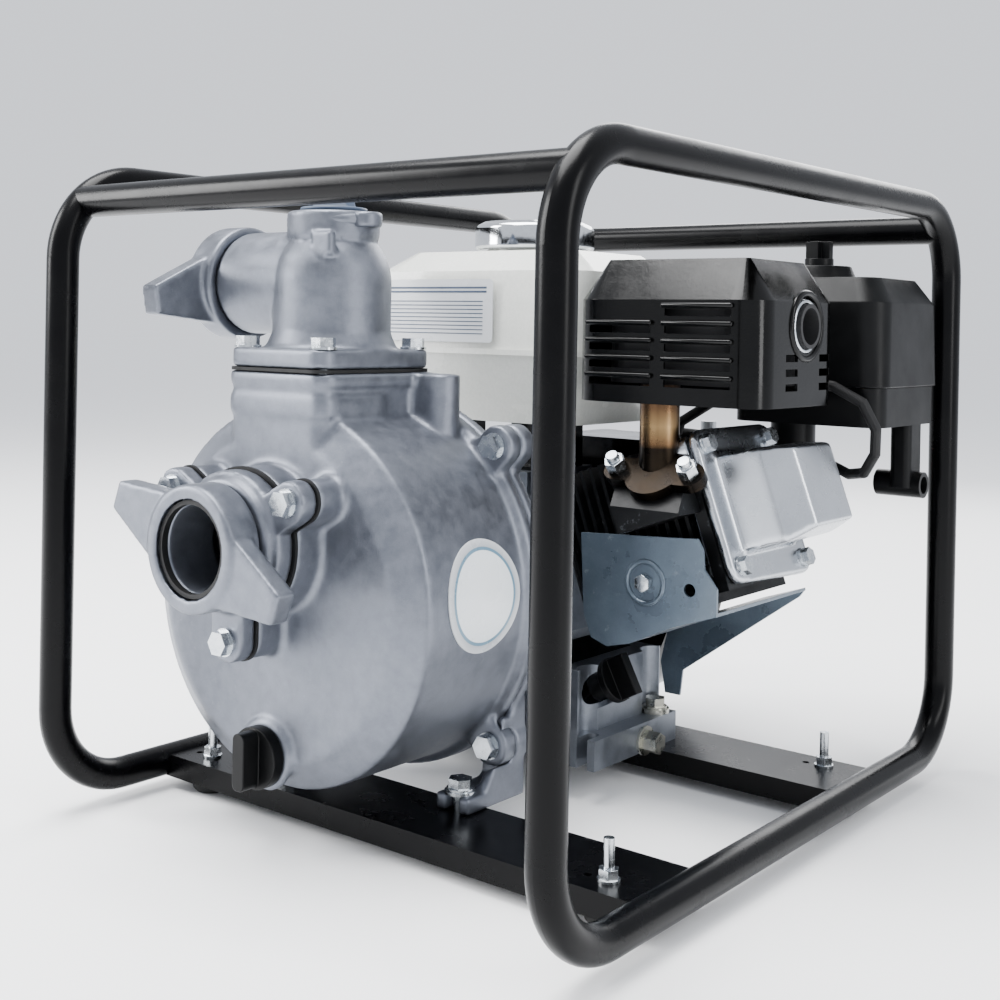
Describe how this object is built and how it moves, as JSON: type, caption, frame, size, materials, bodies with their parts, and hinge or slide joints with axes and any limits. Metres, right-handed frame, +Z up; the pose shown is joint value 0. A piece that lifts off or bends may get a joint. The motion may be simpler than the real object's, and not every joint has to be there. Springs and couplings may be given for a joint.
{
  "type": "gas engine trash pump",
  "caption": "Portable self-priming centrifugal trash pump with a small horizontal-shaft petrol engine in a bent-tube carrying frame, with threaded suction and discharge ports.",
  "frame": {"origin": "centre of the frame's footprint, on the surface the rubber feet stand on", "axes": "+Z up; the suction port faces -Y, the recoil starter faces +Y; the discharge port faces -X and the engine cylinder leans to +X"},
  "size_m": [0.4, 0.502, 0.412],
  "materials": {
    "black_powder_coat": "satin powder coat",
    "foot_rubber": "moulded matt",
    "zinc_plated_steel": "bright zinc plate",
    "blasted_aluminium_casting": "bead-blasted casting",
    "cast_iron_wear_parts": "as cast, machined faces",
    "seal_ceramic": "carbon and rubber seal faces",
    "black_rubber": "matt",
    "grey_blue_plastic": "moulded",
    "black_plastic": "moulded, fine grain",
    "badge_vinyl": "printed vinyl",
    "engine_casting": "die cast, lacquered",
    "copper_tinted_steel": "yellow-chromate plate",
    "forged_steel": "ground journals",
    "piston_alloy": "machined",
    "black_painted_casting": "heat-resistant paint, worn fin edges",
    "bright_die_casting": "bright die casting",
    "blue_grey_paint": "satin paint",
    "heat_tinted_steel": "heat tinted",
    "muffler_steel": "matt heat paint",
    "gloss_black_paint": "gloss",
    "cream_painted_steel": "gloss",
    "chromed_cap": "polished",
    "flywheel_iron": "machined rim",
    "filter_foam": "oiled foam and pleated paper",
    "lever_steel": "plated pressing",
    "plug_ceramic": "plated shell, glazed insulator",
    "red_plastic": "moulded"
  },
  "bodies": {
    "pump_unit": {"frame_hoop_right": "black_powder_coat", "frame_hoop_left": "black_powder_coat", "front_top_rail": "black_powder_coat", "back_top_rail": "black_powder_coat", "front_channel": "black_powder_coat", "back_channel": "black_powder_coat", "rubber_feet": "foot_rubber", "foot_studs": "zinc_plated_steel", "pump_casing": "blasted_aluminium_casting", "rear_cover": "blasted_aluminium_casting", "pump_bolts": "zinc_plated_steel", "volute": "cast_iron_wear_parts", "mechanical_seal": "seal_ceramic", "suction_flange": "blasted_aluminium_casting", "suction_gasket": "black_rubber", "port_seals": "black_rubber", "riser_gasket": "black_rubber", "discharge_elbow": "blasted_aluminium_casting", "pump_badge": "badge_vinyl", "crankcase": "engine_casting", "crankcase_cover": "engine_casting", "engine_bolts": "copper_tinted_steel", "cylinder_head": "black_painted_casting", "valve_cover": "bright_die_casting", "valve_cover_bolts": "zinc_plated_steel", "cylinder_shroud": "blue_grey_paint", "exhaust_pipe": "heat_tinted_steel", "exhaust_nuts": "heat_tinted_steel", "muffler": "muffler_steel", "muffler_guard": "gloss_black_paint", "fuel_tank": "cream_painted_steel", "rating_plate": "badge_vinyl", "fan_housing": "gloss_black_paint", "recoil_cover": "gloss_black_paint", "air_cleaner_base": "black_plastic", "air_filter": "filter_foam", "carburettor": "engine_casting", "spark_plug": "plug_ceramic", "plug_lead": "black_rubber", "fuel_hose": "black_rubber", "tank_bracket": "gloss_black_paint"},
    "drive_shaft": {"crankshaft": "forged_steel", "impeller": "cast_iron_wear_parts", "flywheel": "flywheel_iron"},
    "suction_wing_nut": {"suction_wing_nut": "blasted_aluminium_casting"},
    "discharge_wing_nut": {"discharge_wing_nut": "blasted_aluminium_casting"},
    "check_valve": {"check_valve_flap": "black_rubber"},
    "starter_pulley": {"recoil_pulley": "black_plastic"},
    "starter_grip": {"recoil_grip": "black_plastic"},
    "throttle_lever": {"throttle_lever": "lever_steel"},
    "choke_lever": {"choke_lever": "black_plastic"},
    "fuel_valve": {"fuel_valve_lever": "black_plastic"},
    "engine_switch": {"engine_switch": "red_plastic"},
    "fuel_cap": {"fuel_cap": "chromed_cap"},
    "priming_plug": {"priming_plug": "grey_blue_plastic"},
    "drain_plug": {"drain_plug": "black_plastic"},
    "dipstick": {"dipstick": "black_plastic"},
    "air_cleaner_cover": {"air_cleaner_cover": "black_plastic"},
    "air_cleaner_knob": {"air_cleaner_knob": "black_plastic"},
    "piston": {"piston": "piston_alloy"}
  },
  "joints": [
    {"name": "shaft_spin", "type": "hinge", "parent": "pump_unit", "child": "drive_shaft", "pos_m": [-0.059, 0.05, 0.1275], "axis": [0, 1, 0], "continuous": true},
    {"name": "suction_wing_nut_turn", "type": "hinge", "parent": "pump_unit", "child": "suction_wing_nut", "pos_m": [-0.059, -0.235, 0.183], "axis": [0, 1, 0], "continuous": true},
    {"name": "discharge_wing_nut_turn", "type": "hinge", "parent": "pump_unit", "child": "discharge_wing_nut", "pos_m": [-0.146, -0.133, 0.338], "axis": [1, 0, 0], "continuous": true},
    {"name": "check_valve_swing", "type": "hinge", "parent": "pump_unit", "child": "check_valve", "pos_m": [-0.059, -0.199, 0.213], "axis": [1, 0, 0], "range_deg": [0, 50]},
    {"name": "starter_grip_pull", "type": "slide", "parent": "pump_unit", "child": "starter_grip", "axis": [-1, 0, 0], "range_m": [0, 0.1]},
    {"name": "starter_pulley_turn", "type": "hinge", "parent": "pump_unit", "child": "starter_pulley", "pos_m": [-0.059, 0.19, 0.1275], "axis": [0, 1, 0], "range_deg": [-150, 0]},
    {"name": "throttle_lever_turn", "type": "hinge", "parent": "pump_unit", "child": "throttle_lever", "pos_m": [0.02, 0.158, 0.233], "axis": [0, 0, 1], "range_deg": [-25, 40]},
    {"name": "choke_lever_turn", "type": "hinge", "parent": "pump_unit", "child": "choke_lever", "pos_m": [0.11858, 0.15, 0.20457], "axis": [1, 0, 0], "range_deg": [-15, 45]},
    {"name": "fuel_valve_turn", "type": "hinge", "parent": "pump_unit", "child": "fuel_valve", "pos_m": [0.11858, 0.124, 0.17997], "axis": [1, 0, 0], "range_deg": [0, 90]},
    {"name": "engine_switch_turn", "type": "hinge", "parent": "pump_unit", "child": "engine_switch", "pos_m": [0.027, 0.185, 0.2135], "axis": [0, 1, 0], "range_deg": [0, 45]},
    {"name": "fuel_cap_lift", "type": "slide", "parent": "pump_unit", "child": "fuel_cap", "axis": [0, 0, 1], "range_m": [0, 0.012]},
    {"name": "priming_plug_lift", "type": "slide", "parent": "pump_unit", "child": "priming_plug", "axis": [0, 0, 1], "range_m": [0, 0.02]},
    {"name": "drain_plug_draw", "type": "slide", "parent": "pump_unit", "child": "drain_plug", "axis": [0, -1, 0], "range_m": [0, 0.02]},
    {"name": "dipstick_draw", "type": "slide", "parent": "pump_unit", "child": "dipstick", "axis": [0.8829, 0, 0.4695], "range_m": [0, 0.05]},
    {"name": "air_cleaner_cover_lift", "type": "slide", "parent": "pump_unit", "child": "air_cleaner_cover", "axis": [0, 0, 1], "range_m": [0, 0.02]},
    {"name": "air_cleaner_knob_turn", "type": "hinge", "parent": "air_cleaner_cover", "child": "air_cleaner_knob", "pos_m": [0.127, 0.165, 0.36], "axis": [0, 0, 1], "continuous": true},
    {"name": "piston_stroke", "type": "slide", "parent": "pump_unit", "child": "piston", "axis": [0.9397, 0, 0.342], "range_m": [-0.045, 0]}
  ],
  "couplings": [
    {"joint": "starter_pulley_turn", "follows": "starter_grip_pull", "rad_per_m": -25.641}
  ]
}
